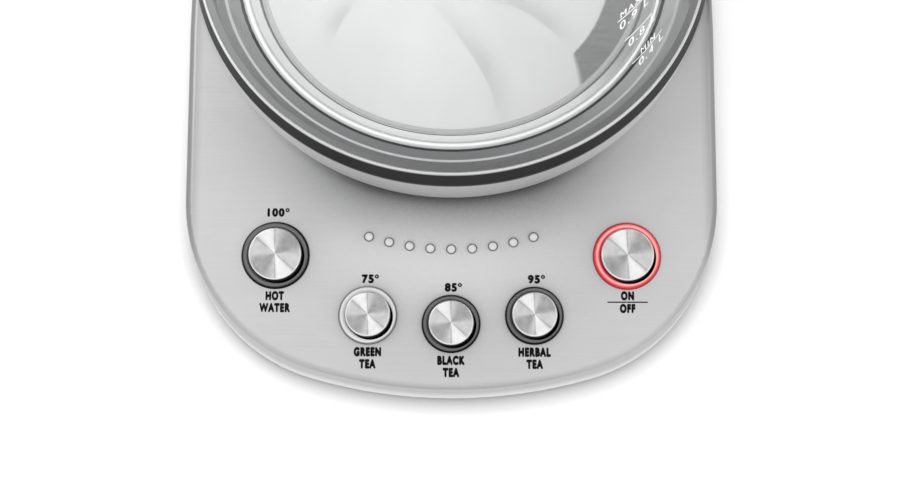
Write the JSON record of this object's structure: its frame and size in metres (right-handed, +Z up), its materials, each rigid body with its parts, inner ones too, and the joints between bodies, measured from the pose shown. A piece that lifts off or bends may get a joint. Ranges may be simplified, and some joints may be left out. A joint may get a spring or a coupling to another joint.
{
  "type": "automatic tea maker",
  "caption": "Automatic tea maker: glass jug with a motor-lowered tea basket on a sloping brushed metal power base with round light-ring buttons.",
  "frame": {"origin": "on the table, in the plane under the feet, below the jug's axis", "axes": "+Z up along the jug's axis; the button panel faces -Y; the handle is at +X and the spout at -X"},
  "size_m": [0.2112, 0.2345, 0.1798],
  "materials": {
    "brushed_steel": "brushed",
    "bright_steel": "polished",
    "spring_steel": "drawn wire",
    "black_gloss": "gloss",
    "black_matte": "fine texture",
    "rubber_black": "matt",
    "silicone": "satin",
    "ring_dark": "smoked, unlit",
    "ring_clear": "frosted, lit white",
    "ring_red": "translucent, lit red",
    "lens_white": "frosted",
    "board_green": "solder mask",
    "copper_lacquer": "wound and taped",
    "relay_case": "moulded",
    "brass": "bare",
    "glass": "clear",
    "plate_steel": "fine brushed",
    "aluminium": "cast",
    "element_sheath": "oxidised sheath",
    "magnet": "nickel"
  },
  "bodies": {
    "base": {"base_cover": "brushed_steel", "base_tray": "black_matte", "pedestal_ring": "brushed_steel", "pedestal_deck": "black_gloss", "power_connector": "black_gloss", "connector_contacts": "brass", "rubber_feet": "rubber_black", "base_screws": "bright_steel", "control_board": "board_green", "board_screws": "bright_steel", "key_switches": "black_matte", "status_lenses": "lens_white", "mains_board": "board_green", "transformer": "copper_lacquer", "heater_relay": "relay_case", "buzzer": "black_matte", "cord_gland": "rubber_black", "key_springs": "spring_steel", "hot_water_ring": "ring_dark", "green_tea_ring": "ring_clear", "black_tea_ring": "ring_dark", "herbal_tea_ring": "ring_dark", "power_ring": "ring_red"},
    "jug": {"jug_glass": "glass", "glass_seal": "silicone", "rim_ring": "bright_steel", "jug_skirt": "black_gloss", "jug_bottom_cover": "black_matte", "jug_screws": "bright_steel", "floor_plate": "plate_steel", "plate_seal": "silicone", "floor_collar": "plate_steel", "heat_spreader": "aluminium", "heating_element": "element_sheath", "temperature_sensor": "brass", "jug_socket": "black_matte", "lift_motor": "spring_steel", "lift_post": "bright_steel", "spout_band": "brushed_steel", "handle_grip": "black_matte"},
    "lead_screw": {"lift_screw": "spring_steel"},
    "basket_lift": {"magnet_nut": "magnet", "basket_carriage": "black_gloss", "carriage_magnet": "magnet", "tea_basket": "bright_steel"},
    "basket_cover": {"basket_lid": "bright_steel"},
    "lid": {"lid_shell": "brushed_steel", "lid_plug": "black_gloss", "lid_seal": "silicone", "lid_knob": "black_gloss"},
    "hot_water_key": {"hot_water_cap": "brushed_steel", "hot_water_plunger": "black_matte"},
    "green_tea_key": {"green_tea_cap": "brushed_steel", "green_tea_plunger": "black_matte"},
    "black_tea_key": {"black_tea_cap": "brushed_steel", "black_tea_plunger": "black_matte"},
    "herbal_tea_key": {"herbal_tea_cap": "brushed_steel", "herbal_tea_plunger": "black_matte"},
    "power_key": {"power_cap": "brushed_steel", "power_plunger": "black_matte"}
  },
  "joints": [
    {"name": "hot_water_press", "type": "slide", "parent": "base", "child": "hot_water_key", "axis": [0, -0.153, 0.9882], "range_m": [-0.0012, 0], "stiffness_N_per_m": 300, "springref_m": 0.001, "deforming": ["key_springs"]},
    {"name": "green_tea_press", "type": "slide", "parent": "base", "child": "green_tea_key", "axis": [0, -0.153, 0.9882], "range_m": [-0.0012, 0], "stiffness_N_per_m": 300, "springref_m": 0.001, "deforming": ["key_springs"]},
    {"name": "black_tea_press", "type": "slide", "parent": "base", "child": "black_tea_key", "axis": [0, -0.153, 0.9882], "range_m": [-0.0012, 0], "stiffness_N_per_m": 300, "springref_m": 0.001, "deforming": ["key_springs"]},
    {"name": "herbal_tea_press", "type": "slide", "parent": "base", "child": "herbal_tea_key", "axis": [0, -0.153, 0.9882], "range_m": [-0.0012, 0], "stiffness_N_per_m": 300, "springref_m": 0.001, "deforming": ["key_springs"]},
    {"name": "power_press", "type": "slide", "parent": "base", "child": "power_key", "axis": [0, -0.153, 0.9882], "range_m": [-0.0012, 0], "stiffness_N_per_m": 300, "springref_m": 0.001, "deforming": ["key_springs"]},
    {"name": "jug_lift", "type": "slide", "parent": "base", "child": "jug", "axis": [0, 0, 1], "range_m": [0, 0.05]},
    {"name": "lid_lift", "type": "slide", "parent": "jug", "child": "lid", "axis": [0, 0, 1], "range_m": [0, 0.03]},
    {"name": "basket_drop", "type": "slide", "parent": "jug", "child": "basket_lift", "axis": [0, 0, 1], "range_m": [-0.056, 0]},
    {"name": "screw_turn", "type": "hinge", "parent": "jug", "child": "lead_screw", "pos_m": [0, 0.044, 0.08], "axis": [0, 0, 1], "range_deg": [-2520, 0]},
    {"name": "basket_lid_lift", "type": "slide", "parent": "basket_lift", "child": "basket_cover", "axis": [0, 0, 1], "range_m": [0, 0.0035]}
  ],
  "couplings": [
    {"joint": "screw_turn", "follows": "basket_drop", "rad_per_m": 785.4}
  ]
}
